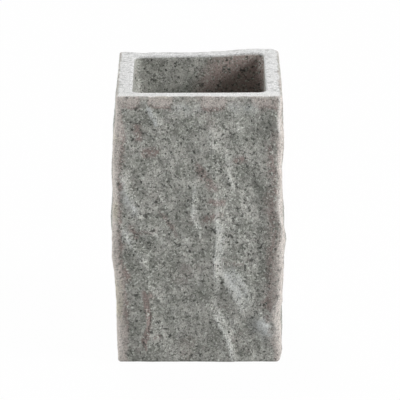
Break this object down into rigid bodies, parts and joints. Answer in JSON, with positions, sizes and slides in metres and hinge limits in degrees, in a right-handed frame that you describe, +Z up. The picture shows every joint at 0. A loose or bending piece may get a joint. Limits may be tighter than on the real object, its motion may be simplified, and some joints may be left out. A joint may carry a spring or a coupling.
{
  "type": "bathroom tumbler",
  "caption": "Tall square bathroom tumbler of cast stone with chipped faces, a smooth sawn rim and small round non-slip feet, for toothbrushes or rinsing water.",
  "frame": {"origin": "on the surface that the tumbler stands on, under the middle of the cup", "axes": "+Z up along the cup's height, +X to the right and -Y towards the front face that the picture shows"},
  "size_m": [0.0753, 0.0762, 0.1204],
  "materials": {
    "cast_stone": "matt grey granite speckle with faint pink patches and dark grains, paler where the rim is sawn",
    "foot_rubber": "soft matt",
    "adhesive": "cloudy film"
  },
  "bodies": {
    "root": {"body": "cast_stone", "adhesive_front_left": "adhesive", "adhesive_front_right": "adhesive", "adhesive_back_left": "adhesive", "adhesive_back_right": "adhesive", "foot_front_left": "foot_rubber", "foot_front_right": "foot_rubber", "foot_back_left": "foot_rubber", "foot_back_right": "foot_rubber"}
  },
  "joints": []
}
